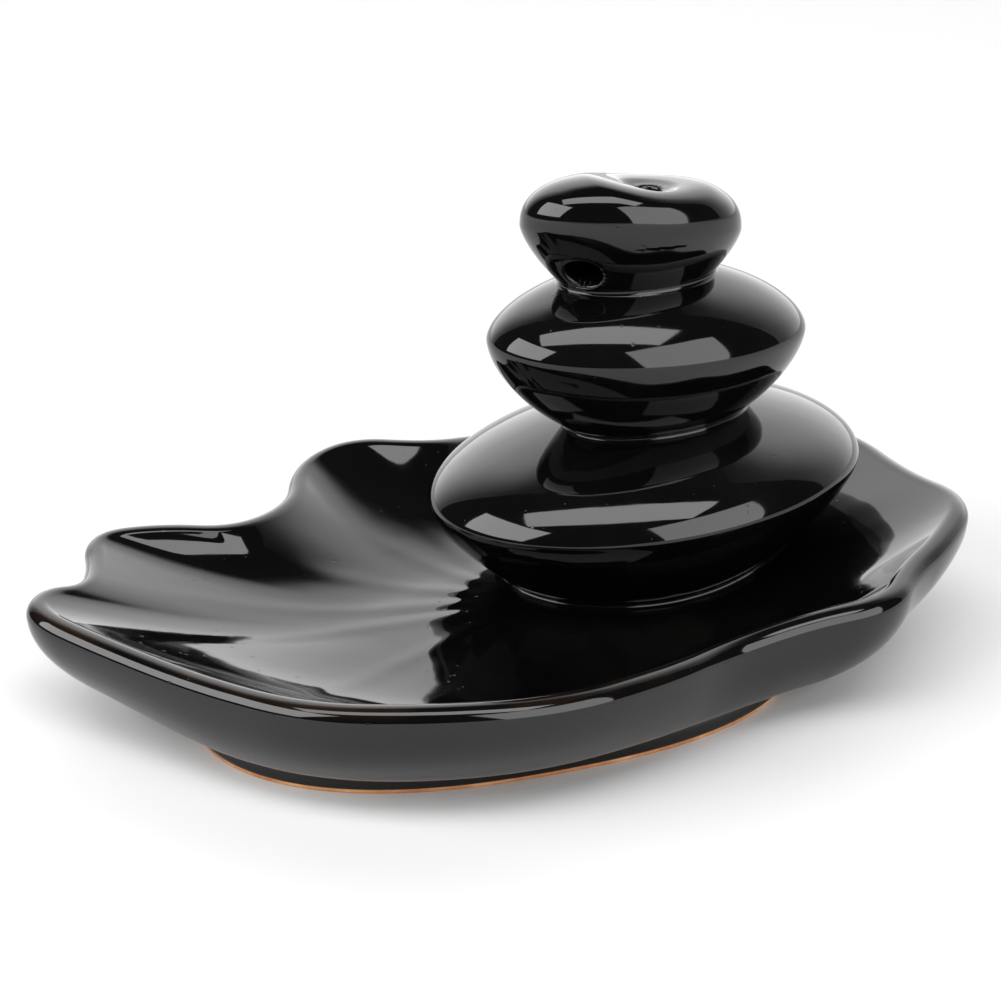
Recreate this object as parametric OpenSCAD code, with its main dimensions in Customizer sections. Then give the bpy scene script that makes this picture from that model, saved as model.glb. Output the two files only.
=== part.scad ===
// Backflow incense burner: a lotus-leaf dish on a low foot, with three pebbles
// stacked on it. A cone stands on the top pebble, its smoke goes down the inlet
// into the hollow pebble and spills out of the outlet on to the leaf.
// The origin is on the table, under the middle of the whole burner; +X runs
// along the leaf, -Y is the low front edge.

/* [Leaf dish] */
// Length of the leaf from tip to tip
leaf_l = 151; // [130:1:190]
// Width of the leaf across
leaf_w = 100; // [86:1:124]
// Mean height of the lip above the table
lip_h = 19.5; // [17:0.5:26]
// How far the lip rises and falls, as a share of its natural waves
lip_wave = 1; // [0:0.1:1.4]
// Thickness of the rounded lip
lip_t = 4.4; // [3:0.1:6]
// Height of the dish floor above the table
floor_h = 8.5; // [7.5:0.1:10]

/* [Foot ring] */
// Length of the foot
foot_l = 98; // [78:1:106]
// Width of the foot
foot_w = 66; // [54:1:72]
// Height of the foot
foot_h = 3.5; // [2.5:0.1:4.5]
// Width of the standing face of the foot
foot_t = 5; // [3.5:0.1:8]

/* [Lower pebble] */
// Length of the lower pebble
lower_l = 74.4; // [62:0.2:84]
// Width of the lower pebble
lower_w = 58.4; // [47:0.2:63]
// Height of its dome above its sharp waist
lower_up = 13.3; // [11:0.1:16]
// Height of that waist above the dish floor
lower_waist = 16.2; // [13.5:0.1:19]

/* [Middle pebble] */
// Length of the middle pebble
middle_l = 53.6; // [44:0.2:64]
// Width of the middle pebble
middle_w = 35.4; // [29:0.2:42]
// Height of its dome above its waist
middle_up = 11.8; // [10:0.1:14]
// How far it sinks on to the dome below
middle_sink = 6.6; // [5.2:0.1:8]

/* [Top pebble] */
// Length of the top pebble
top_l = 36; // [29:0.2:42]
// Width of the top pebble
top_w = 24; // [20:0.2:28]
// Height of its dome above its waist
top_up = 8.9; // [7.6:0.1:10.2]
// How far it sinks on to the dome below
top_sink = 9.5; // [8:0.1:10.4]
// Depth of the hollow that the cone stands in
well_depth = 2; // [1.4:0.1:2.6]
// Radius of that hollow
well_r = 10.6; // [8.6:0.1:11.4]
// Diameter of the flat seat at the bottom of the hollow
seat_d = 8; // [6.4:0.1:9]

/* [Smoke path] */
// Diameter of the inlet under the cone
inlet_d = 4; // [3:0.1:5]
// Diameter of the outlet in the side of the top pebble
outlet_d = 7; // [5.5:0.1:7.6]
// Wall of the hollow pebbles
shell_t = 3; // [2.4:0.1:3.6]
// Diameter of the kiln vents between the hollows
vent_d = 7; // [5.6:0.1:8]
// Size of the glaze and slip fillets in the seams
fillet = 1.3; // [0.8:0.1:1.8]

/* [Hidden] */
$fn = 48;

black_glaze = [0.03, 0.03, 0.03];
bare_clay = [0.62, 0.36, 0.20];

// Corners of the leaf's edge, anticlockwise from the left tip: x, y and how far
// the lip stands above or below its mean height. leaf_l and leaf_w stretch them.
leaf_corners = [
    [-72.5, 4, 0], [-65, -6.5, -1], [-53.5, -21.5, -2], [-42, -36, -1], [-27, -44, 0],
    [-8.5, -47, -0.5], [9, -42.5, -1.5], [23, -36, -2.5], [36.5, -35.5, -0.5],
    [49.5, -36.5, 0.5], [57, -28.5, 1], [67, -22, 2], [76, -13, 3.5], [74, 3, 1.5],
    [74, 22, 1.5], [66, 38, 0], [49, 47, -1], [30, 49, -1.5], [14, 47, -0.5],
    [2, 44, 1], [-10, 50.5, 1], [-19.5, 47.5, -1], [-24, 34, -2], [-36, 26.5, -2],
    [-49, 29, -0.5], [-59, 30.5, -1], [-60, 20.5, -1.5], [-63.5, 11.5, -1],
    [-70.5, 10.5, 0]];
corner_steps = 3;

// A pebble is [centre of its waist, half length and half width, turn, dome height
// and power, belly depth and power, lean along x and y]. A power of 2 is an ellipse,
// and less than 2 gives a sharper waist and straighter flanks.
lower_down = 27.2;
middle_down = 19.1;
top_down = 15.7;
stack_at = [0.202 * leaf_l, 0.12 * leaf_w];
lower_z = floor_h + lower_waist;
middle_z = lower_z + lower_up + middle_down - middle_sink;
top_z = middle_z + middle_up + top_down - top_sink;
lower_at = stack_at + [-1.2, -1.4];
middle_at = stack_at + [-3, -5.2];
top_at = stack_at + [-6.9, -6.5];
lower = [[lower_at.x, lower_at.y, lower_z], [lower_l / 2, lower_w / 2], 4.5,
         [lower_up, 1.76], [lower_down, 1.32], [0.06, -0.03]];
middle = [[middle_at.x, middle_at.y, middle_z], [middle_l / 2, middle_w / 2], 1.6,
          [middle_up, 1.69], [middle_down, 1.62], [-0.025, 0]];
top = [[top_at.x, top_at.y, top_z], [top_l / 2, top_w / 2], 0,
       [top_up, 2.45], [top_down, 1.4], [-0.1, -0.18]];

// The cone's hollow, and the outlet low on the belly of the top pebble
well_at = top_at + [1.4, -2.8];
seat_z = top_z + top_up - well_depth - 0.3;
outlet_side = -151;
outlet_turn = -128;
outlet_dip = 35;
outlet_drop = 7.2;
vent_at = stack_at + [-2, -3];

ring_n = 40;
dome_n = 8;
belly_n = 9;

// Closed smooth curve that runs just inside its corner points
function rounded(p, steps) = [
    for (i = [0 : len(p) - 1], j = [0 : steps - 1])
        let (a = p[(i + len(p) - 1) % len(p)], b = p[i], c = p[(i + 1) % len(p)],
             t = j / steps)
        0.5 * ((1 - t) * (1 - t) * a + (1 + 2 * t - 2 * t * t) * b + t * t * c)];

function unit(v) = v / norm(v);

// Ellipse-like radius with square shoulders, seen at angle a
function oval_r(a, half_l, half_w, power) =
    pow(pow(abs(cos(a)) / half_l, power) + pow(abs(sin(a)) / half_w, power), -1 / power);

leaf_edge = rounded(leaf_corners, corner_steps);
leaf_n = len(leaf_edge);
function spread(v) = max(v) - min(v);
stretch_x = (leaf_l - lip_t) / spread([for (p = leaf_edge) p.x]);
stretch_y = (leaf_w - lip_t) / spread([for (p = leaf_edge) p.y]);

// Middle of the rounded lip, and the way out of the leaf at each of its points
lip_mid = [for (p = leaf_edge)
    [p.x * stretch_x, p.y * stretch_y, lip_h + lip_wave * p.z - lip_t / 2]];

lip_out = [for (i = [0 : leaf_n - 1])
    let (d = lip_mid[(i + 1) % leaf_n] - lip_mid[(i + leaf_n - 1) % leaf_n])
    unit([d.y, -d.x])];

// Foot outline: a squarish oval, set a little to the front and left of the leaf's middle
foot_mid = [-3, -4];
foot_power = 2.4;
function foot_pt(a, inset) = let (r = oval_r(a, foot_l / 2 - inset, foot_w / 2 - inset, foot_power))
    foot_mid + r * [cos(a), sin(a)];

// Rings of the dish, from the underside up the wall, over the lip and down to the floor
wall_n = 6;
lip_n = 7;
bowl_n = 10;
bowl_flat = 0.35;
bowl_power = 2.3;
front_power = 6;
lip_end = 125;

function wall_ring(t) = [for (i = [0 : leaf_n - 1])
    let (m = lip_mid[i],
         f = foot_pt(atan2(m.y - foot_mid.y, m.x - foot_mid.x), 0),
         o = [m.x, m.y] + lip_out[i] * lip_t / 2,
         p = f + (o - f) * sin(90 * t))
    [p.x, p.y, foot_h + (m.z - foot_h) * (1 - cos(90 * t))]];

function lip_ring(a) = [for (i = [0 : leaf_n - 1])
    let (m = lip_mid[i], p = [m.x, m.y] + lip_out[i] * cos(a) * lip_t / 2)
    [p.x, p.y, m.z + sin(a) * lip_t / 2]];

// The bowl leaves its flat floor gently and meets the lip at a slope. At the front the
// floor stays flat for longer, and the wall is short and steep.
function bowl_rise(s, p) =
    let (front = pow(max(0, -p.y / norm([p.x, p.y])), 1.5))
    pow(max(0, (s - bowl_flat) / (1 - bowl_flat)), bowl_power + (front_power - bowl_power) * front);

function bowl_ring(s) = [for (i = [0 : leaf_n - 1])
    let (m = lip_mid[i], p = ([m.x, m.y] + lip_out[i] * cos(lip_end) * lip_t / 2) * s,
         rim_z = m.z + sin(lip_end) * lip_t / 2)
    [p.x, p.y, floor_h + (rim_z - floor_h) * bowl_rise(s, m)]];

// Steps from the lip towards the middle, close together where the wall is steep
function bowl_s(k) = 1 - pow((k + 0.4) / (bowl_n + 0.4), 1.7);

bowl_rings = [for (k = [0 : bowl_n - 1]) bowl_ring(bowl_s(k))];

// Skin over a stack of equal rings, closed by a point below and a point above.
// The rings run anticlockwise, the first is the lowest on the outside.
module lofted(rings, below, above) {
    n = len(rings[0]);
    m = len(rings);
    points = concat([for (r = rings) each r], [below, above]);
    sides = [for (k = [0 : m - 2], i = [0 : n - 1])
        let (a = k * n + i, b = k * n + (i + 1) % n) each [[a, b + n, b], [a, a + n, b + n]]];
    caps = [for (i = [0 : n - 1])
        let (j = (i + 1) % n) each [[m * n, i, j],
            [m * n + 1, (m - 1) * n + j, (m - 1) * n + i]]];
    polyhedron(points, concat(sides, caps), convexity = 8);
}

// The two ends of the leaf's outline along x and y give the middle of the burner
outer = lip_ring(0);
mid_x = (max([for (p = outer) p.x]) + min([for (p = outer) p.x])) / 2;
mid_y = (max([for (p = outer) p.y]) + min([for (p = outer) p.y])) / 2;

module placed() {
    translate([-mid_x, -mid_y, 0]) children();
}

module dish_body() {
    rings = concat([for (k = [0 : wall_n - 1]) wall_ring(k / wall_n)],
                   [for (k = [0 : lip_n - 1]) lip_ring(lip_end * k / (lip_n - 1))], bowl_rings);
    lofted(rings, [foot_mid.x, foot_mid.y, foot_h], [0, 0, floor_h]);
}

// Everything under the inside of the bowl, which can be lifted a little
module under_bowl(lift = 0) {
    rings = [for (r = bowl_rings) [for (p = r) p + [0, 0, lift]]];
    base = [for (p = rings[0]) [p.x, p.y, -lower_down]];
    lofted(concat([base], rings), [0, 0, -lower_down], [0, 0, floor_h + lift]);
}

// One ring of a pebble at angle f above the waist, grown by g all round
function pebble_ring(s, f, g) =
    let (half = s[1] + [g, g],
         side = f < 0 ? s[4] : s[3],
         r = pow(cos(f), 2 / side[1]),
         z = sign(f) * (side[0] + g) * pow(abs(sin(f)), 2 / side[1]))
    [for (i = [0 : ring_n - 1])
        let (a = 360 * i / ring_n,
             u = half[0] * r * cos(a), v = half[1] * r * sin(a),
             x = u * cos(s[2]) - v * sin(s[2]), y = u * sin(s[2]) + v * cos(s[2]))
        [s[0].x + x, s[0].y + y, s[0].z + z + s[5] * [x, y]]];

// How far the top of a pebble is pressed in at a place, for the cone's hollow
function well_z(p) = let (d = norm([p.x, p.y] - well_at) / well_r)
    d < 1 ? -well_depth * pow(1 - d * d, 2) : 0;

module pebble(s, g = 0, well = false) {
    angles = concat([for (k = [1 : belly_n]) -90 + 90 * k / belly_n],
                    [for (k = [1 : dome_n - 1]) 90 * k / dome_n]);
    plain = [for (f = angles) pebble_ring(s, f, g)];
    rings = well
        ? [for (k = [0 : len(plain) - 1])
            [for (p = plain[k]) angles[k] > 0 ? p + [0, 0, well_z(p)] : p]]
        : plain;
    crown = [s[0].x, s[0].y, s[0].z + s[3][0] + g];
    lofted(rings, [s[0].x, s[0].y, s[0].z - s[4][0] - g],
           crown + [0, 0, well ? well_z(crown) : 0]);
}

// The hollow inside a pebble, with a lower roof where a cone's hollow needs it
module cavity(s, roof_drop = 0) {
    pebble([s[0], s[1], s[2], [s[3][0] - roof_drop, s[3][1]], s[4], s[5]], -shell_t);
}

module vertical_hole(d, at, z0, z1) {
    translate([at.x, at.y, z0]) cylinder(d = d, h = z1 - z0);
}

// The outlet starts on the belly's skin, at the side outlet_side, and dips outwards
module outlet_hole() {
    shrink = pow(1 - pow(outlet_drop / top_down, top[4][1]), 1 / top[4][1]);
    r = shrink * oval_r(outlet_side - top[2], top_l / 2, top_w / 2, 2);
    side = r * [cos(outlet_side), sin(outlet_side)];
    translate([top_at.x + side.x, top_at.y + side.y, top_z - outlet_drop + top[5] * side])
        rotate([0, 90 + outlet_dip, outlet_turn])
            translate([0, 0, -shell_t - 2]) cylinder(d = outlet_d, h = shell_t + 7);
}

// Glaze and slip that fill the corner all round where two pieces meet
module seam_fill() {
    color(black_glaze) placed() difference() {
        intersection() {
            children(0);
            children(1);
        }
        children(2);
        children(3);
    }
}

module leaf_dish() {
    color(black_glaze) placed() difference() {
        dish_body();
        vertical_hole(vent_d, vent_at, foot_h - 1, floor_h + 3);
    }
}

module foot_ring() {
    color(bare_clay) placed() linear_extrude(foot_h) difference() {
        polygon([for (p = lip_mid) foot_pt(atan2(p.y - foot_mid.y, p.x - foot_mid.x), 0)]);
        polygon([for (p = lip_mid) foot_pt(atan2(p.y - foot_mid.y, p.x - foot_mid.x), foot_t)]);
    }
}

module lower_pebble() {
    color(black_glaze) placed() difference() {
        pebble(lower);
        cavity(lower);
        under_bowl();
        vertical_hole(vent_d, vent_at, lower_z, lower_z + lower_up + 1);
    }
}

module middle_pebble() {
    color(black_glaze) placed() difference() {
        pebble(middle);
        cavity(middle);
        pebble(lower);
    }
}

module top_pebble() {
    color(black_glaze) placed() difference() {
        pebble(top, well = true);
        cavity(top, well_depth);
        pebble(middle);
        vertical_hole(inlet_d, well_at, top_z - 1, seat_z + 1);
        vertical_hole(seat_d, well_at, seat_z, seat_z + well_depth + 2);
        outlet_hole();
    }
}

module base_seam() {
    seam_fill() {
        pebble(lower, fillet);
        under_bowl(fillet);
        pebble(lower);
        under_bowl();
    }
}

module lower_seam() {
    seam_fill() {
        pebble(middle, fillet);
        pebble(lower, fillet);
        pebble(middle);
        pebble(lower);
    }
}

module upper_seam() {
    seam_fill() {
        pebble(top, fillet);
        pebble(middle, fillet);
        pebble(top);
        pebble(middle);
    }
}

leaf_dish();
foot_ring();
lower_pebble();
middle_pebble();
top_pebble();
base_seam();
lower_seam();
upper_seam();
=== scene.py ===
# %% [markdown]
# # A backflow incense burner in black glaze
# The burner is one piece of fired pottery: a lotus-leaf dish on a low foot, and three
# hollow pebbles stacked on it. A cone of incense stands on the top pebble, and its
# smoke sinks through an inlet and spills out of a hole in the pebble's side.
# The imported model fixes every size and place. This lesson gives it smooth skins,
# rounded glaze and believable finishes.

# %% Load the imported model
from math import atan2, cos, exp, hypot, pi, radians, sin, tan
import bmesh
import bpy
from mathutils import Matrix, Quaternion, Vector
from mathutils.bvhtree import BVHTree


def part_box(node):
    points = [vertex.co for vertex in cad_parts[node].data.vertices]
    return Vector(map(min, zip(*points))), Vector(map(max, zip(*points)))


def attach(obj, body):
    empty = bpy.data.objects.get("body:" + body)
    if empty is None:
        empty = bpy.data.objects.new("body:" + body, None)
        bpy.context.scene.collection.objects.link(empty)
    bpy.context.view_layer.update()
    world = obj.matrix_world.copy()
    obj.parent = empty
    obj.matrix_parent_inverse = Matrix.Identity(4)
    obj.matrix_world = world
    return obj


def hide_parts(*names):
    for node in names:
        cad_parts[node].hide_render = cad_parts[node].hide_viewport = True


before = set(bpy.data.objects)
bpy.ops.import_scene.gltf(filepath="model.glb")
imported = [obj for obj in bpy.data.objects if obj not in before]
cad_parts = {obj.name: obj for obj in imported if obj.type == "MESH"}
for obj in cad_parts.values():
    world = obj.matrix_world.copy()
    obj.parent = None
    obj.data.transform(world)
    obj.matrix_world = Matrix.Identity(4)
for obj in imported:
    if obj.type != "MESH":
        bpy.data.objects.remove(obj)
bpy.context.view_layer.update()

MM = 0.001

# %% [markdown]
# Every piece below is built in millimetres, because that is how a potter measures it.
# One helper turns the finished mesh into metres, makes its object with its finish, and
# hides the part of the imported model that it stands for.

# %% Helper: turn a mesh in millimetres into a piece of the burner
def finish_piece(bm, name, node, finish):
    """Make the object for a mesh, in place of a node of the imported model."""
    bmesh.ops.recalc_face_normals(bm, faces=bm.faces)
    bmesh.ops.scale(bm, vec=(MM, MM, MM), verts=bm.verts)
    for face in bm.faces:
        face.smooth = True
    mesh = bpy.data.meshes.new(name)
    bm.to_mesh(mesh)
    bm.free()
    mesh.materials.append(finish)
    piece = bpy.data.objects.new(name, mesh)
    bpy.context.scene.collection.objects.link(piece)
    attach(piece, "root")
    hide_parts(node)
    print(name, len(mesh.polygons), "faces")
    return piece


# %% Helper: the two far corners of a node's box, in millimetres
def node_box(node):
    """Lowest and highest corner of a node, in millimetres."""
    low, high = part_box(node)
    return Vector(low) / MM, Vector(high) / MM


# %% [markdown]
# ## Black glaze
# A gloss black glaze is a thick layer of coloured glass. It hardly scatters any light:
# what the eye sees is almost all reflection, so the base is nearly black and the gloss
# does the work. Real glaze is never a perfect mirror. It flowed when it was hot, so it
# carries slow, shallow waves a few millimetres across, and it holds a few pinholes.
# Where it is thin, on the lip, the clay's iron shows through as a warm brown. The
# attribute "thin" is painted on the mesh further down, and the glaze reads it here.

# %% Helper: nodes by name
def add_node(tree, kind, values=None, **settings):
    """Add a node, set its options, then its input values."""
    node = tree.nodes.new(kind)
    for key, value in settings.items():
        setattr(node, key, value)
    for key, value in (values or {}).items():
        node.inputs[key].default_value = value
    return node


# %% Helper: a noise pattern that is fixed to the object
def pattern(tree, size_mm, detail=2.0, rough=0.5):
    """Noise in object coordinates whose features are about size_mm across."""
    place = add_node(tree, "ShaderNodeTexCoord")
    noise = add_node(tree, "ShaderNodeTexNoise",
                     {"Scale": 1 / (size_mm * MM), "Detail": detail, "Roughness": rough})
    tree.links.new(place.outputs["Object"], noise.inputs["Vector"])
    return noise.outputs["Fac"]


# %% Helper: map a value from one range to another
def remap(tree, value, low, high, to_low, to_high):
    """Stretch low..high to to_low..to_high, clamped."""
    node = add_node(tree, "ShaderNodeMapRange",
                    {"From Min": low, "From Max": high, "To Min": to_low, "To Max": to_high})
    tree.links.new(value, node.inputs["Value"])
    return node.outputs["Result"]


# %% The glaze
GLAZE_DEEP = (0.0014, 0.0014, 0.0015, 1)
GLAZE_PALER = (0.0030, 0.0027, 0.0025, 1)
GLAZE_THIN = (0.020, 0.010, 0.006, 1)


def make_glaze():
    """Deep black gloss that turns brown where the glaze is thin."""
    material = bpy.data.materials.new("black_gloss_glaze")
    material.use_nodes = True
    tree = material.node_tree
    skin = tree.nodes["Principled BSDF"]
    skin.inputs["IOR"].default_value = 1.5
    body = add_node(tree, "ShaderNodeMix", data_type="RGBA")
    body.inputs["A"].default_value = GLAZE_DEEP
    body.inputs["B"].default_value = GLAZE_PALER
    tree.links.new(remap(tree, pattern(tree, 18, 4), 0.4, 0.7, 0, 1), body.inputs["Factor"])
    thin = add_node(tree, "ShaderNodeAttribute", attribute_name="thin")
    edge = add_node(tree, "ShaderNodeMix", data_type="RGBA")
    edge.inputs["B"].default_value = GLAZE_THIN
    patchy = add_node(tree, "ShaderNodeMath", operation="MULTIPLY")
    tree.links.new(thin.outputs["Fac"], patchy.inputs[0])
    tree.links.new(remap(tree, pattern(tree, 12, 3), 0.42, 0.68, 0, 0.7), patchy.inputs[1])
    tree.links.new(patchy.outputs["Value"], edge.inputs["Factor"])
    tree.links.new(body.outputs["Result"], edge.inputs["A"])
    tree.links.new(edge.outputs["Result"], skin.inputs["Base Color"])
    tree.links.new(remap(tree, pattern(tree, 7, 3), 0.3, 0.7, 0.035, 0.075),
                   skin.inputs["Roughness"])
    waves = add_node(tree, "ShaderNodeBump", {"Strength": 1.0, "Distance": 0.00006})
    tree.links.new(pattern(tree, 9, 1.5), waves.inputs["Height"])
    pits = add_node(tree, "ShaderNodeBump", {"Strength": 0.5, "Distance": 0.00003})
    tree.links.new(remap(tree, pattern(tree, 0.9, 0), 0.12, 0.19, -1, 0), pits.inputs["Height"])
    tree.links.new(waves.outputs["Normal"], pits.inputs["Normal"])
    tree.links.new(pits.outputs["Normal"], skin.inputs["Normal"])
    return material


glaze = make_glaze()

# %% [markdown]
# ## Bare clay
# A foot is wiped clean before firing, or the glaze would weld it to the kiln shelf. The
# bare clay is a matt orange brown, mottled by iron, with a fine sandy grain.

# %% The clay
CLAY_BROWN = (0.50, 0.20, 0.075, 1)
CLAY_ORANGE = (0.72, 0.38, 0.18, 1)


def make_clay():
    """Matt orange-brown fired clay."""
    material = bpy.data.materials.new("bare_red_clay")
    material.use_nodes = True
    tree = material.node_tree
    skin = tree.nodes["Principled BSDF"]
    skin.inputs["Specular IOR Level"].default_value = 0.25
    tone = add_node(tree, "ShaderNodeMix", data_type="RGBA")
    tone.inputs["A"].default_value = CLAY_BROWN
    tone.inputs["B"].default_value = CLAY_ORANGE
    tree.links.new(remap(tree, pattern(tree, 5, 5, 0.6), 0.35, 0.65, 0, 1), tone.inputs["Factor"])
    tree.links.new(tone.outputs["Result"], skin.inputs["Base Color"])
    tree.links.new(remap(tree, pattern(tree, 2, 3), 0.3, 0.7, 0.7, 0.95), skin.inputs["Roughness"])
    grain = add_node(tree, "ShaderNodeBump", {"Strength": 0.5, "Distance": 0.00008})
    tree.links.new(pattern(tree, 0.5, 3), grain.inputs["Height"])
    tree.links.new(grain.outputs["Normal"], skin.inputs["Normal"])
    return material


clay = make_clay()

# %% [markdown]
# ## The leaf's edge
# The dish is a lotus leaf with soft lobes. Its lip is a tube bent round the leaf, so the
# shape starts with the line through the middle of that tube. A few corner points steer
# a smooth closed curve, a B-spline, which runs just inside them. Each corner is x, y and
# how far the lip stands above or below its mean height.

# %% Corners that steer the lip
LEAF_CORNERS = [
    (-72.5, 4, 0), (-65, -6.5, -1), (-53.5, -21.5, -2), (-42, -36, -1), (-27, -44, 0),
    (-8.5, -47, -0.5), (9, -42.5, -1.5), (23, -36, -2.5), (36.5, -35.5, -0.5),
    (49.5, -36.5, 0.5), (57, -28.5, 1), (67, -22, 2), (76, -13, 3.5), (74, 3, 1.5),
    (74, 22, 1.5), (66, 38, 0), (49, 47, -1), (30, 49, -1.5), (14, 47, -0.5),
    (2, 44, 1), (-10, 50.5, 1), (-19.5, 47.5, -1), (-24, 34, -2), (-36, 26.5, -2),
    (-49, 29, -0.5), (-59, 30.5, -1), (-60, 20.5, -1.5), (-63.5, 11.5, -1),
    (-70.5, 10.5, 0)]
STEPS = 12
lip_height = 19.5
lip_thick = 4.4


def rounded(corners, steps):
    """Closed smooth curve that runs just inside its corner points."""
    line = []
    for i, here in enumerate(corners):
        a, b, c = (Vector(p) for p in (corners[i - 1], here, corners[(i + 1) % len(corners)]))
        for t in (k / steps for k in range(steps)):
            line.append(((1 - t) ** 2 * a + (1 + 2 * t - 2 * t * t) * b + t * t * c) / 2)
    return line


# %% Put the lip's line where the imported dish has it
dish_low, dish_high = node_box("leaf_dish")
lip_line = rounded(LEAF_CORNERS, STEPS)
AROUND = len(lip_line)


def fit_axis(axis):
    """Stretch and shift that put the line inside the dish's box, half a lip in."""
    values = [p[axis] for p in lip_line]
    room = dish_high[axis] - dish_low[axis] - lip_thick
    stretch = room / (max(values) - min(values))
    return stretch, dish_low[axis] + lip_thick / 2 - min(values) * stretch


(stretch_x, shift_x), (stretch_y, shift_y) = fit_axis(0), fit_axis(1)
lip_mid = [Vector((p.x * stretch_x + shift_x, p.y * stretch_y + shift_y,
                   lip_height + p.z - lip_thick / 2)) for p in lip_line]
leaf_heart = Vector((shift_x, shift_y, 0))
lip_out = []
for i in range(AROUND):
    along = lip_mid[(i + 1) % AROUND] - lip_mid[i - 1]
    lip_out.append(Vector((along.y, -along.x, 0)).normalized())
print("lip", AROUND, "points, heart of the leaf at", [round(v, 2) for v in leaf_heart])

# %% [markdown]
# ## The foot
# A low wall under the dish lifts it off the table. Seen from below it is an oval with
# slightly square shoulders. The same outline, drawn further in, is the inner edge.

# %% Outline of the foot
foot_low, foot_high = node_box("foot_ring")
foot_mid = (foot_low + foot_high) / 2
foot_half = (foot_high - foot_low) / 2
foot_top = foot_high.z
FOOT_POWER = 2.4
foot_wide = 5.0


def foot_point(i, inset):
    """Point of the foot's outline below lip point i, inset from the outer edge."""
    side = lip_mid[i] - foot_mid
    angle = atan2(side.y, side.x)
    reach = ((abs(cos(angle)) / (foot_half.x - inset)) ** FOOT_POWER
             + (abs(sin(angle)) / (foot_half.y - inset)) ** FOOT_POWER) ** (-1 / FOOT_POWER)
    return Vector((foot_mid.x + reach * cos(angle), foot_mid.y + reach * sin(angle), 0))


# %% [markdown]
# ## Rings
# A dish is like a pile of hoops. Extruding a loop of edges gives the next hoop, joined to
# the last by a band of faces, and each of its points is then set in its place. This keeps
# the faces in even rows, which makes the reflections run smoothly.

# %% Helper: extrude a loop and set its points
def start_ring(bm, places):
    """A first loop, made from a circle."""
    ring = bmesh.ops.create_circle(bm, segments=len(places), radius=1)["verts"]
    for vert, place in zip(ring, places):
        vert.co = place
    return ring


def next_ring(bm, ring, places):
    """Extrude a loop and set each of its points."""
    edges = [bm.edges.get((ring[i - 1], ring[i])) for i in range(len(ring))]
    grown = set(bmesh.ops.extrude_edge_only(bm, edges=edges)["geom"])
    fresh = []
    for vert, place in zip(ring, places):
        partner = next(e.other_vert(vert) for e in vert.link_edges if e.other_vert(vert) in grown)
        partner.co = place
        fresh.append(partner)
    return fresh


def close_ring(bm, ring, place):
    """Close a loop with a small fan of faces round one point."""
    tip = next_ring(bm, ring, [place] * len(ring))
    bmesh.ops.pointmerge(bm, verts=tip, merge_co=place)


# %% [markdown]
# ## Veins
# A lotus leaf has veins that fan out from one point and fork towards the edge. Under
# glaze they are low rounded ridges, highest near the heart and fading to nothing. Each
# vein is a few points, and the ridge height at a place falls off with its distance.

# %% Lines of the veins, from the heart of the leaf outwards
VEINS = [
    [(4, 8), (1, 20), (-4, 32), (-13, 44)],
    [(0, 12), (-9, 24), (-19, 34)],
    [(-4, 9), (-19, 17), (-34, 23), (-50, 27)],
    [(-6, 5), (-26, 9), (-45, 13), (-60, 15)],
    [(-6, 1), (-25, 2), (-42, 0), (-62, -5)],
    [(-5, -4), (-20, -11), (-36, -20), (-48, -27)],
    [(0, -8), (-6, -22), (-12, -34), (-16, -41)],
    [(14, -8), (20, -20), (25, -30)],
    [(28, -6), (42, -18), (55, -28)],
    [(36, 2), (54, -4), (70, -10)],
    [(36, 10), (55, 10), (70, 9)],
    [(34, 16), (52, 24), (68, 30)],
    [(24, 20), (34, 34), (42, 44)],
    [(12, 18), (14, 32), (16, 44)]]
vein_high = 0.13
vein_wide = 1.9


def vein_rise(x, y):
    """Height of the ridges at a place, measured from the leaf's heart."""
    rise = 0
    for vein in VEINS:
        parts = len(vein) - 1
        for k in range(parts):
            ax, ay = vein[k]
            bx, by = vein[k + 1]
            dx, dy = bx - ax, by - ay
            t = max(0, min(1, ((x - ax) * dx + (y - ay) * dy) / (dx * dx + dy * dy)))
            away = hypot(x - ax - t * dx, y - ay - t * dy)
            if away < 3 * vein_wide:
                lasting = 1 - (k + t) / parts
                bump = vein_high * lasting ** 0.8 * exp(-(away / vein_wide) ** 2)
                rise = max(rise, bump) + 0.15 * min(rise, bump)
    return rise


# %% [markdown]
# ## The leaf dish
# The dish is made from the underside outwards: the kiln vent in the floor, the flat inside
# the foot, the glaze that laps over the foot, the wall, the round lip and the bowl. The
# wall is a quarter of an ellipse, so it leaves the foot nearly flat and is upright where
# it meets the lip. The bowl rises gently from its flat floor and meets the lip at a slope,
# but at the front its floor stays flat for longer, and the wall there is short and steep.
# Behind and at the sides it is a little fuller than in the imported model.

# %% Heights and places of the rings
floor_height = 8.5
vent = leaf_heart + Vector((28.5, 9, 0))
vent_r = 3.5
vent_top = 7.5
glaze_stop = 0.85
glaze_skin = 0.18
WALL_RINGS = 16
LIP_RINGS = 12
BOWL_RINGS = 84
RING_CROWDING = 1.25
bowl_flat = 0.35
BACK_POWER = 1.9
FRONT_POWER = 6
LIP_END = 125


def flat_ring(z, inset):
    """Foot outline at a height."""
    return [foot_point(i, inset) + Vector((0, 0, z)) for i in range(AROUND)]


def vent_ring(z, radius):
    """Circle of the kiln vent at a height."""
    ring = []
    for i in range(AROUND):
        side = (foot_point(i, 0) - foot_mid).xy.normalized() * radius
        ring.append(Vector((vent.x + side.x, vent.y + side.y, z)))
    return ring


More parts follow.
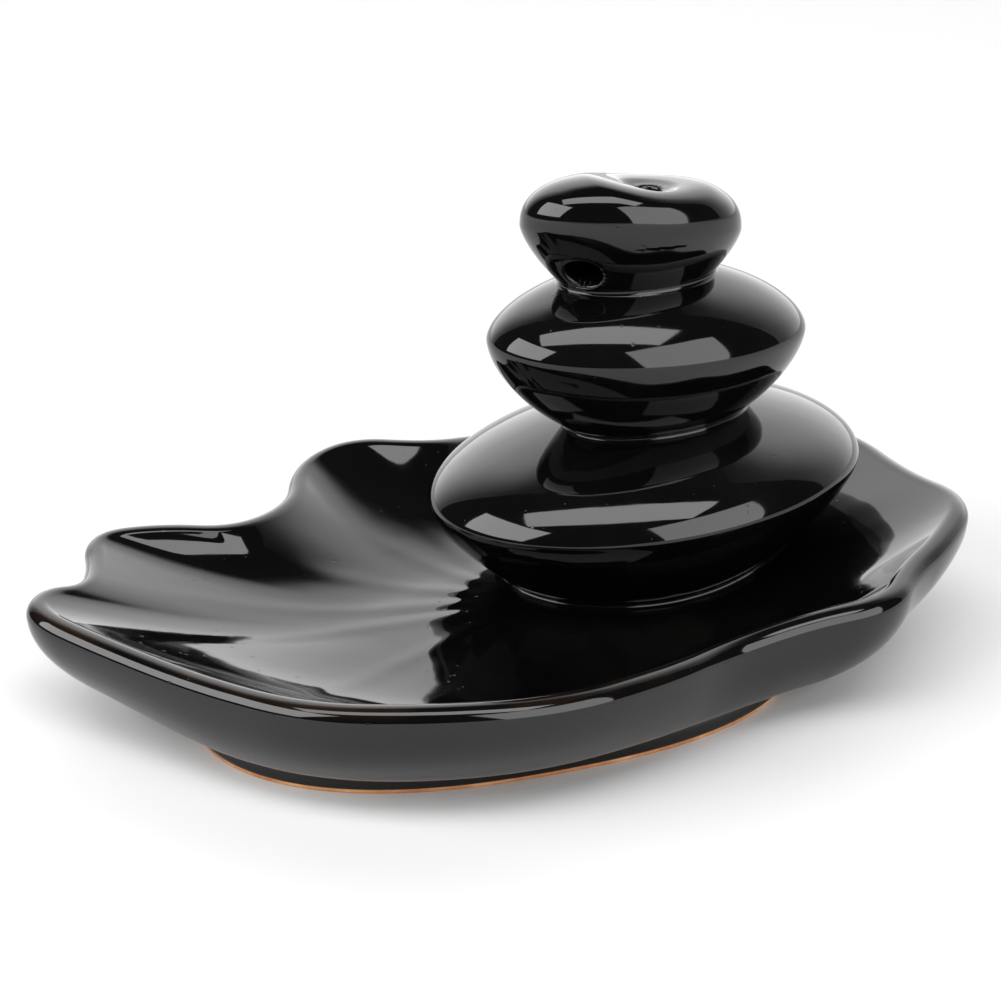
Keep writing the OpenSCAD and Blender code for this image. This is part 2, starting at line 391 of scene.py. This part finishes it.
def wall_ring(t):
    """Ring of the outer wall, t from 0 at the foot to 1 at the lip."""
    ring = []
    for i, mid in enumerate(lip_mid):
        low = foot_point(i, -glaze_skin)
        out = mid + lip_out[i] * lip_thick / 2
        plan = low.lerp(out, sin(t * pi / 2))
        ring.append(Vector((plan.x, plan.y, foot_top + (mid.z - foot_top) * (1 - cos(t * pi / 2)))))
    return ring


def lip_ring(angle):
    """Ring of the round lip, at an angle from 0 on the outside."""
    a = radians(angle)
    return [mid + lip_out[i] * cos(a) * lip_thick / 2 + Vector((0, 0, sin(a) * lip_thick / 2))
            for i, mid in enumerate(lip_mid)]


# %% The bowl: the leaf's lobes fade into a plain oval towards the heart
inner_line = lip_ring(LIP_END)


def calm(line, times):
    """Even out a closed line, so that its lobes fade."""
    for _ in range(times):
        line = [(line[i - 1] + line[i] * 2 + line[(i + 1) % len(line)]) / 4 for i in range(len(line))]
    return line


CALM_TIMES = 900
LOBE_FADE = 1.5
FRONT_SPREAD = 1.5
VEIN_STOP = 6
calm_line = calm(inner_line, CALM_TIMES)


def bowl_ring(s):
    """Ring of the bowl, s from 1 at the lip to 0 at the heart."""
    q = max(0, (s - bowl_flat) / (1 - bowl_flat))
    keep = q ** LOBE_FADE
    ring = []
    for sharp, soft in zip(inner_line, calm_line):
        edge = soft.lerp(sharp, keep)
        x, y = (edge - leaf_heart).xy * s
        front = max(0, -(sharp - leaf_heart).xy.normalized().y) ** FRONT_SPREAD
        power = BACK_POWER + (FRONT_POWER - BACK_POWER) * front
        z = floor_height + (edge.z - floor_height) * q ** power
        z += vein_rise(x, y) * (1 - q ** VEIN_STOP)
        ring.append(Vector((leaf_heart.x + x, leaf_heart.y + y, z)))
    return ring


def bowl_share(k):
    """How far out ring k is: a little closer together near the lip."""
    return 1 - (k / BOWL_RINGS) ** RING_CROWDING


# %% [markdown]
# Glaze runs off a sharp edge while it is molten, so it is thinnest along the top of the
# lip. That thinness is stored on the mesh as an attribute, one number for each point. It
# is greatest a little inside the top of the lip and fades out to both sides.

# %% Build the dish
THINNEST_AT = 70
THIN_SPREAD = 50
dish = bmesh.new()
thin = dish.verts.layers.float.new("thin")
ring = start_ring(dish, vent_ring(vent_top, vent_r))
mouth = [dish.edges.get((ring[i - 1], ring[i])) for i in range(AROUND)]
bmesh.ops.contextual_create(dish, geom=mouth)
for z, radius in ((5, vent_r), (3.9, vent_r), (3.6, vent_r + 0.15), (foot_top, vent_r + 0.5)):
    ring = next_ring(dish, ring, vent_ring(z, radius))
for share in (0.25, 0.5, 0.75):
    near, far = vent_ring(foot_top, vent_r + 0.5), flat_ring(foot_top, foot_wide + 0.2)
    ring = next_ring(dish, ring, [a.lerp(b, share) for a, b in zip(near, far)])
for z, inset in ((foot_top, foot_wide + 0.2), (foot_top, 0.4), (foot_top - 0.3, 0.05),
                 (glaze_stop, 0.05), (glaze_stop, -glaze_skin * 0.5),
                 (glaze_stop + 0.12, -glaze_skin)):
    ring = next_ring(dish, ring, flat_ring(z, inset))
for z in (1.5, 2.2, 2.8, 3.2):
    ring = next_ring(dish, ring, flat_ring(z, -glaze_skin - 0.35 * max(0, (z - 2) / 1.5) ** 2))
for k in range(2, WALL_RINGS):
    ring = next_ring(dish, ring, wall_ring(k / WALL_RINGS))
for k in range(LIP_RINGS + 1):
    angle = LIP_END * k / LIP_RINGS
    ring = next_ring(dish, ring, lip_ring(angle))
    for vert in ring:
        vert[thin] = max(0, 1 - abs(angle - THINNEST_AT) / THIN_SPREAD)
for k in range(1, BOWL_RINGS):
    ring = next_ring(dish, ring, bowl_ring(bowl_share(k)))
    for vert in ring:
        vert[thin] = 0
close_ring(dish, ring, bowl_ring(0)[0])
print("dish rings made,", len(dish.verts), "points")

bowl_tree = BVHTree.FromBMesh(dish)
leaf_dish = finish_piece(dish, "glazed_leaf_dish", "leaf_dish", glaze)

# %% [markdown]
# ## The foot ring
# Only the lowest millimetre of the foot shows, below the edge of the glaze. Its standing
# edge is worn round, so the ring is drawn with small rounded corners.

# %% Build the foot ring
foot = bmesh.new()
round_r = 0.5
profile = [(foot_top, 0.1), (round_r, 0.0), (round_r * 0.3, round_r * 0.3), (0, round_r),
           (0, foot_wide - round_r), (round_r * 0.3, foot_wide - round_r * 0.3),
           (round_r, foot_wide), (foot_top, foot_wide)]
first = start_ring(foot, flat_ring(*profile[0]))
ring = first
for z, inset in profile[1:]:
    ring = next_ring(foot, ring, flat_ring(z, inset))
loops = [foot.edges.get((line[i - 1], line[i])) for line in (first, ring) for i in range(AROUND)]
bmesh.ops.bridge_loops(foot, edges=loops)
foot_ring = finish_piece(foot, "bare_clay_foot", "foot_ring", clay)

# %% [markdown]
# ## Pebbles
# A river pebble is nearly an ellipsoid, with a flatter dome above its waist and a deeper
# belly below. A power below 2 pinches the waist to a soft crease, and above 2 squares it.
# Each pebble starts as a plain ball. Every point is then pushed along its own direction
# out to the pebble's skin.

# %% A pebble's shape, and the way from a direction to its skin
class Pebble:
    """Waist centre and half sizes in millimetres, turn in degrees."""

    def __init__(self, centre, half, turn, dome, belly, lean=(0, 0)):
        self.centre, self.half, self.lean = Vector(centre), half, Vector(lean)
        self.turn = Matrix.Rotation(radians(turn), 3, "Z")
        self.dome, self.belly = dome, belly

    def inward(self, place):
        """A place in the pebble's own stretched space, where its waist is 1 across."""
        x, y, z = place - self.centre
        z -= self.lean.dot(Vector((x, y)))
        local = self.turn.transposed() @ Vector((x, y, z))
        high = self.dome[0] if z >= 0 else self.belly[0]
        return Vector((local.x / self.half[0], local.y / self.half[1], local.z / high))

    def outward(self, local):
        """Back from the stretched space to millimetres."""
        high = self.dome[0] if local.z >= 0 else self.belly[0]
        x, y, z = self.turn @ Vector((local.x * self.half[0], local.y * self.half[1], local.z * high))
        return self.centre + Vector((x, y, z + self.lean.dot(Vector((x, y)))))

    def size(self, local):
        """1 on the skin, less inside and more outside."""
        power = self.dome[1] if local.z >= 0 else self.belly[1]
        return (hypot(local.x, local.y) ** power + abs(local.z) ** power) ** (1 / power)

    def skin(self, place):
        """The skin point in the same direction as a place."""
        local = self.inward(place)
        return self.outward(local / self.size(local))


# %% The three pebbles of the stack
stack = leaf_heart + Vector((30.5, 12, 0))
lower = Pebble(stack + Vector((-1.2, -1.4, 24.7)), (37.2, 29.2), 4.5,
               (13.3, 1.76), (27.2, 1.32), (0.06, -0.03))
middle = Pebble(stack + Vector((-3, -5.2, 50.5)), (26.8, 17.7), 1.6,
                (11.8, 1.69), (19.1, 1.62), (-0.025, 0))
top = Pebble(stack + Vector((-6.9, -6.5, 68.5)), (18, 12), 0,
             (8.9, 2.45), (15.7, 1.4), (-0.1, -0.18))
for name, stone in (("lower", lower), ("middle", middle), ("top", top)):
    print(name, "pebble waist at", [round(v, 2) for v in stone.centre])


# %% Build the lower and middle pebbles
def plain_pebble(stone, cut_at=None):
    """A ball pushed out to the skin of a pebble, and cut flat below a height."""
    bm = bmesh.new()
    bmesh.ops.create_uvsphere(bm, u_segments=224, v_segments=112, radius=1)
    for vert in bm.verts:
        local = vert.co.copy()
        vert.co = stone.outward(local / stone.size(local))
    if cut_at is not None:
        bmesh.ops.bisect_plane(bm, geom=bm.verts[:] + bm.edges[:] + bm.faces[:],
                               plane_co=(0, 0, cut_at), plane_no=(0, 0, 1), clear_inner=True)
        bmesh.ops.holes_fill(bm, edges=[e for e in bm.edges if e.is_boundary])
    return bm


lower_pebble = finish_piece(plain_pebble(lower, cut_at=floor_height - 2),
                            "lower_pebble_glazed", "lower_pebble", glaze)
middle_pebble = finish_piece(plain_pebble(middle),
                             "middle_pebble_glazed", "middle_pebble", glaze)

# %% [markdown]
# ## The top pebble
# This one has work to do. A shallow hollow in its crown holds the cone, a 4 mm inlet takes
# the smoke down, and an outlet lets it fall out of the belly. The outlet is 7 mm wide in
# the clay, and the glaze that gathers on its edge leaves 6 mm. Cutting round holes in a
# ball leaves ragged faces. Here the ball's two poles are slid over to the two holes first,
# so the ball's own rings already run round them. The small caps at the poles are deleted,
# each opening gets a rounded lip and a short bore, and a bridge joins the bores.

# %% Where the two holes are, and how their axes run
well = top.centre + Vector((1.4, -2.8, 0))
well_deep = 2.0
well_wide = 10.6
seat_height = 75.1
inlet_axis = Vector((0, 0, 1))
seat_flat = 2.5
seat_end = 5
outlet_at = top.centre + Vector((-10.35, -5.72, -5.07))
outlet_turn, outlet_dip = radians(-128), radians(35)
outlet_axis = Vector((cos(outlet_turn) * cos(outlet_dip), sin(outlet_turn) * cos(outlet_dip),
                      -sin(outlet_dip)))
inlet_r = 2.0
inlet_lip = 0.7
outlet_r = 3.0
outlet_lip = 0.5
bore_deep = 3.5


def press_well(place):
    """Sink the crown round the cone's seat, and level the seat itself."""
    away = hypot(place.x - well.x, place.y - well.y)
    if away > well_wide or place.z < top.centre.z:
        return place
    z = place.z - well_deep * (1 - (away / well_wide) ** 2) ** 2
    level = max(0, min(1, (seat_end - away) / (seat_end - seat_flat)))
    level *= level * (3 - 2 * level)
    return Vector((place.x, place.y, z * (1 - level) + seat_height * level))


def crown_point(x, y):
    """Point of the top pebble's dome at a place in plan."""
    local = top.inward(Vector((x, y, top.centre.z + 1)))
    power = top.dome[1]
    local.z = (1 - hypot(local.x, local.y) ** power) ** (1 / power)
    return top.outward(local)


# %% Slide the ball's poles to the holes
def direction_of(place):
    """Direction of a place in the pebble's stretched space."""
    return top.inward(place).normalized()


north = direction_of(crown_point(well.x, well.y))
south = direction_of(outlet_at)
upright = (north - south).normalized()
sideways = (north + south).normalized()
across = upright.cross(sideways)
squeeze = tan(north.angle(sideways) / 2)


def slide(direction):
    """Move a direction so that the ball's poles end at the two holes."""
    side = direction.x * across + direction.y * sideways + direction.z * upright
    angle = side.angle(sideways)
    rest = side - sideways * side.dot(sideways)
    if rest.length < 1e-9:
        return side
    turned = 2 * atan2(squeeze * sin(angle / 2), cos(angle / 2))
    return sideways * cos(turned) + rest.normalized() * sin(turned)


# %% Helper: a hole with a rounded lip, going in along its axis
def make_hole(bm, ring, at, axis, radius, lip, depth):
    """Round lip and straight bore, from an open ring on the skin."""
    rays = []
    for vert in ring:
        arm = vert.co - at
        height = arm.dot(axis)
        rays.append((height, (arm - axis * height).normalized()))
    floor = min(height for height, _ in rays) - depth
    for k in range(7):
        a = pi / 2 * k / 6
        reach, drop = radius + lip * (1 - sin(a)), lip * (1 - cos(a))
        places = [at + axis * (height - drop) + ray * reach for height, ray in rays]
        if k == 0:
            for vert, place in zip(ring, places):
                vert.co = place
        else:
            ring = next_ring(bm, ring, places)
    for share in (0.3, 0.65, 1.0):
        places = [at + axis * ((height - lip) * (1 - share) + floor * share) + ray * radius
                  for height, ray in rays]
        ring = next_ring(bm, ring, places)
    return ring


# %% Helper: the open ring near a place, in order
def open_ring(bm, near):
    """Boundary loop of an opening, walked round in order."""
    edges = [e for e in bm.edges if e.is_boundary]
    start = min((v for e in edges for v in e.verts), key=lambda v: (v.co - near).length)
    ring = [start]
    last = None
    while True:
        step = next(e.other_vert(ring[-1]) for e in ring[-1].link_edges
                    if e.is_boundary and e.other_vert(ring[-1]) is not last)
        if step is start:
            return ring
        last = ring[-1]
        ring.append(step)


# %% Build the top pebble
crown = bmesh.new()
bmesh.ops.create_uvsphere(crown, u_segments=224, v_segments=150, radius=1)
for vert in crown.verts:
    local = slide(vert.co.normalized())
    vert.co = press_well(top.outward(local / top.size(local)))
inlet_at = press_well(crown_point(well.x, well.y))
lips = []
for at, axis, radius, lip in ((inlet_at, inlet_axis, inlet_r, inlet_lip),
                              (outlet_at, outlet_axis, outlet_r, outlet_lip)):
    caps = []
    for vert in crown.verts:
        arm = vert.co - at
        reach = (arm - axis * arm.dot(axis)).length
        if reach < (radius + lip) * 1.04 and abs(arm.dot(axis)) < 4:
            caps.append(vert)
    bmesh.ops.delete(crown, geom=caps, context="VERTS")
    ring = open_ring(crown, at)
    lips.append(make_hole(crown, ring, at, axis, radius, lip, bore_deep))
    print("hole of", radius * 2, "mm has", len(ring), "points round it")
if len(lips[0]) == len(lips[1]):
    ends = [crown.edges.get((line[i - 1], line[i])) for line in lips for i in range(len(line))]
    bmesh.ops.bridge_loops(crown, edges=ends)
top_pebble = finish_piece(crown, "top_pebble_glazed", "top_pebble", glaze)

# %% [markdown]
# ## Seams
# The pebbles are stuck with slip, and glaze pools in the corner where two of them meet.
# Each pool is a thin collar with a hollow face. It starts as a ring of small rounds, spun
# into a torus. Every section then moves to its place on the line where the two stones
# touch, and its outer half becomes a curve that leaves both skins smoothly.

# %% Where two stones touch, found by halving
def contact(upper, is_inside, angle):
    """Point of the upper stone's belly, at an angle, that lies on the skin below."""
    high, low = 0.0, pi / 2
    for _ in range(40):
        f = (high + low) / 2
        local = Vector((cos(f) * cos(angle), cos(f) * sin(angle), -sin(f)))
        place = upper.outward(local / upper.size(local))
        if is_inside(place):
            low = f
        else:
            high = f
    return place


def slope(height_of, place):
    """Unit way out of a skin, where height_of grows outwards."""
    step = 0.05
    ways = (Vector((step, 0, 0)), Vector((0, step, 0)), Vector((0, 0, step)))
    return Vector([height_of(place + d) - height_of(place - d) for d in ways]).normalized()


# %% Helper: a collar of glaze along a contact line
SEAM_AROUND = 240
SEAM_SECTION = 16
SEAM_SINK = 0.03
SEAM_BACK = 0.4


def seam(name, node, upper, below_size, below_skin, leg_up, leg_down):
    """Spin a small circle into a ring, and lay it along the contact line.

    leg_up and leg_down are how far the glaze reaches along each skin. The inner half of
    each section lies hidden inside both stones.
    """
    bm = bmesh.new()
    upright_at_1 = Matrix.Translation((1, 0, 0)) @ Matrix.Rotation(pi / 2, 4, "X")
    section = bmesh.ops.create_circle(bm, segments=SEAM_SECTION, radius=0.2,
                                      matrix=upright_at_1)
    edges = list({e for v in section["verts"] for e in v.link_edges})
    bmesh.ops.spin(bm, geom=section["verts"] + edges, cent=(0, 0, 0), axis=(0, 0, 1),
                   angle=2 * pi, steps=SEAM_AROUND, use_merge=True)
    line = [contact(upper, lambda p: below_size(p) < 0, 2 * pi * i / SEAM_AROUND)
            for i in range(SEAM_AROUND)]

    def upper_size(place):
        return upper.size(upper.inward(place))

    for vert in bm.verts:
        i = round(atan2(vert.co.y, vert.co.x) / (2 * pi) * SEAM_AROUND) % SEAM_AROUND
        j = atan2(vert.co.z, hypot(vert.co.x, vert.co.y) - 1) / pi
        here = line[i]
        along = (line[(i + 1) % SEAM_AROUND] - line[i - 1]).normalized()
        up_out, down_out = slope(upper_size, here), slope(below_size, here)
        up_way, down_way = along.cross(up_out), down_out.cross(along)
        up_way *= 1 if up_way.dot(down_out) > 0 else -1
        down_way *= 1 if down_way.dot(up_out) > 0 else -1
        a = upper.skin(here + up_way * leg_up) - up_out * SEAM_SINK
        b = below_skin(here + down_way * leg_down) - down_out * SEAM_SINK
        if abs(j) <= 0.5:
            t = 0.5 - j
            vert.co = a * (1 - t) ** 2 + here * 2 * t * (1 - t) + b * t ** 2
        else:
            t = (abs(j) - 0.5) * 2
            vert.co = (a if j > 0 else b).lerp(here - (up_out + down_out) * SEAM_BACK, t)
    return finish_piece(bm, name, node, glaze)


# %% The two collars between pebbles
lower_seam = seam("slip_collar_middle", "lower_seam", middle,
                  lambda p: lower.size(lower.inward(p)) - 1, lower.skin, 1.3, 1.3)
upper_seam = seam("slip_collar_top", "upper_seam", top,
                  lambda p: middle.size(middle.inward(p)) - 1, middle.skin, 1.2, 1.2)


# %% The collar on the dish: the skin below is the bowl, found by a ray from above
def bowl_height(place):
    """Height above the bowl."""
    hit = bowl_tree.ray_cast(Vector((place.x, place.y, 40)), Vector((0, 0, -1)))[0]
    return place.z - hit.z


def bowl_skin(place):
    """Point of the bowl straight below or above a place."""
    return place - Vector((0, 0, bowl_height(place)))


base_seam = seam("slip_collar_base", "base_seam", lower, bowl_height, bowl_skin, 2.0, 2.4)

# %% [markdown]
# ## Camera and studio
# A black mirror shows the room, so the room is what gives the burner its form. It stands
# on a white sweep. There is a large soft light on the left, another on the right, a long
# strip above the front, and a bright wall behind. The front is left dark: that gap
# between the lights is what makes the stones look black.

# %% Camera: long lens, a little to the left and above
CAMERA_AZIMUTH, CAMERA_ELEVATION = -20, 24
camera_away = 0.340
aim = Vector((-1.711, -1.696, 28)) * MM
camera_data = bpy.data.cameras.new("studio_camera")
camera_data.sensor_width = 36
camera_data.lens = 77.97
camera_data.clip_start = 0.01
camera = bpy.data.objects.new("studio_camera", camera_data)
bpy.context.scene.collection.objects.link(camera)


def toward(azimuth, elevation):
    """Unit way from the burner towards a place in the room. 0 is the front."""
    a, e = radians(azimuth), radians(elevation)
    return Vector((sin(a) * cos(e), -cos(a) * cos(e), sin(e)))


camera.location = aim + toward(CAMERA_AZIMUTH, CAMERA_ELEVATION) * camera_away
camera.rotation_euler = (aim - camera.location).to_track_quat("-Z", "Y").to_euler()
bpy.context.scene.camera = camera


# %% Helper: a plain surface for the studio
def studio_surface(name, shade, glows=False):
    """Matt white surface. One that glows reads its brightness from the mesh."""
    material = bpy.data.materials.new(name)
    material.use_nodes = True
    tree = material.node_tree
    skin = tree.nodes["Principled BSDF"]
    skin.inputs["Base Color"].default_value = (shade, shade, shade, 1)
    skin.inputs["Roughness"].default_value = 0.9
    skin.inputs["Specular IOR Level"].default_value = 0.2
    if glows:
        skin.inputs["Emission Color"].default_value = (1, 1, 1, 1)
        glow = add_node(tree, "ShaderNodeAttribute", attribute_name="glow")
        tree.links.new(glow.outputs["Fac"], skin.inputs["Emission Strength"])
    return material


def studio_piece(bm, name, surface):
    """Object for a floor or a wall of the studio."""
    mesh = bpy.data.meshes.new(name)
    bm.to_mesh(mesh)
    bm.free()
    mesh.materials.append(surface)
    piece = bpy.data.objects.new(name, mesh)
    bpy.context.scene.collection.objects.link(piece)
    return piece


# %% [markdown]
# The burner stands on one large white floor. It is a flat disc, much wider than the
# picture, so no edge of it is in sight.

# %% White floor
floor_bm = bmesh.new()
bmesh.ops.create_circle(floor_bm, cap_ends=True, segments=96, radius=6)
studio_floor = studio_piece(floor_bm, "studio_floor", studio_surface("white_sweep", 0.72))

# %% [markdown]
# The wall behind is lit from above and from the right, so it is not equally bright all
# over. It is spun from one upright line of points, and each point carries its brightness:
# full from the far right to straight behind, fading out at both ends and at the top.
# All the angles are in degrees as the burner sees them.

# %% Bright wall behind
WALL_FROM, WALL_TO = 80, 216
FULL_FROM, FULL_TO = 128, 186
FULL_UP_TO, DARK_ABOVE = 44, 62
WALL_STEP = 4
WALL_POINTS = 17
wall_away = 2.4
wall_glow = 1.8


def fade(value, low, high):
    """Smooth step from 0 at low to 1 at high."""
    t = max(0, min(1, (value - low) / (high - low)))
    return t * t * (3 - 2 * t)


wall_bm = bmesh.new()
start = toward(WALL_FROM, 0) * wall_away
column = [wall_bm.verts.new((start.x, start.y, wall_away * tan(radians(WALL_STEP * k))))
          for k in range(WALL_POINTS)]
edges = [wall_bm.edges.new(pair) for pair in zip(column, column[1:])]
bmesh.ops.spin(wall_bm, geom=column + edges, cent=(0, 0, 0), axis=(0, 0, 1),
               angle=radians(WALL_TO - WALL_FROM), steps=68)
glow_layer = wall_bm.verts.layers.float.new("glow")
for vert in wall_bm.verts:
    azimuth = atan2(vert.co.x, -vert.co.y) * 180 / pi % 360
    rise = atan2(vert.co.z, wall_away) * 180 / pi
    ends = fade(azimuth, WALL_FROM, FULL_FROM) * (1 - fade(azimuth, FULL_TO, WALL_TO))
    vert[glow_layer] = wall_glow * ends * (1 - fade(rise, FULL_UP_TO, DARK_ABOVE))
back_wall = studio_piece(wall_bm, "back_wall", studio_surface("lit_wall", 0.5, glows=True))


# %% [markdown]
# Each soft light is a rectangle that faces the burner. What counts is how large and how
# bright it looks from there, because that is what the glaze mirrors, so it is set by its
# angles and its radiance, and the power follows from its area.

# %% Soft lights
def soft_light(name, azimuth, elevation, wide, high, radiance, roll=0, away=1.6):
    """Rectangular light, wide, high and rolled in degrees as the burner sees it."""
    data = bpy.data.lights.new(name, "AREA")
    data.shape = "RECTANGLE"
    data.size = 2 * away * tan(radians(wide / 2))
    data.size_y = 2 * away * tan(radians(high / 2))
    data.energy = radiance * pi * data.size * data.size_y
    light = bpy.data.objects.new(name, data)
    bpy.context.scene.collection.objects.link(light)
    light.location = toward(azimuth, elevation) * away
    aimed = (-light.location).to_track_quat("-Z", "Y")
    light.rotation_euler = (aimed @ Quaternion((0, 0, 1), radians(roll))).to_euler()
    print(name, round(data.size, 2), "x", round(data.size_y, 2), "m,", round(data.energy, 1), "W")


soft_light("left_softbox", -90, 29, 48, 35, 5.4)
soft_light("right_softbox", 24, 23, 44, 46, 3.4)
soft_light("top_strip", -30, 71, 64, 22, 4.8)

# %% [markdown]
# The rest of the room is nearly dark, so that the glaze stays black between the lights.
# Where the camera looks past the studio it sees plain white instead, as on a paper sweep.

# %% Dim room, with a white backdrop for the camera
world = bpy.data.worlds.new("studio_room")
bpy.context.scene.world = world
world.use_nodes = True
room = world.node_tree.nodes["Background"]
room.inputs["Color"].default_value = (0.05, 0.05, 0.05, 1)
backdrop = add_node(world.node_tree, "ShaderNodeBackground", {"Color": (1, 1, 1, 1)})
seen = add_node(world.node_tree, "ShaderNodeLightPath")
choice = add_node(world.node_tree, "ShaderNodeMixShader")
world.node_tree.links.new(seen.outputs["Is Camera Ray"], choice.inputs["Fac"])
world.node_tree.links.new(room.outputs["Background"], choice.inputs[1])
world.node_tree.links.new(backdrop.outputs["Background"], choice.inputs[2])
world.node_tree.links.new(choice.outputs["Shader"], world.node_tree.nodes["World Output"].inputs["Surface"])
bpy.context.scene.view_settings.view_transform = "Standard"
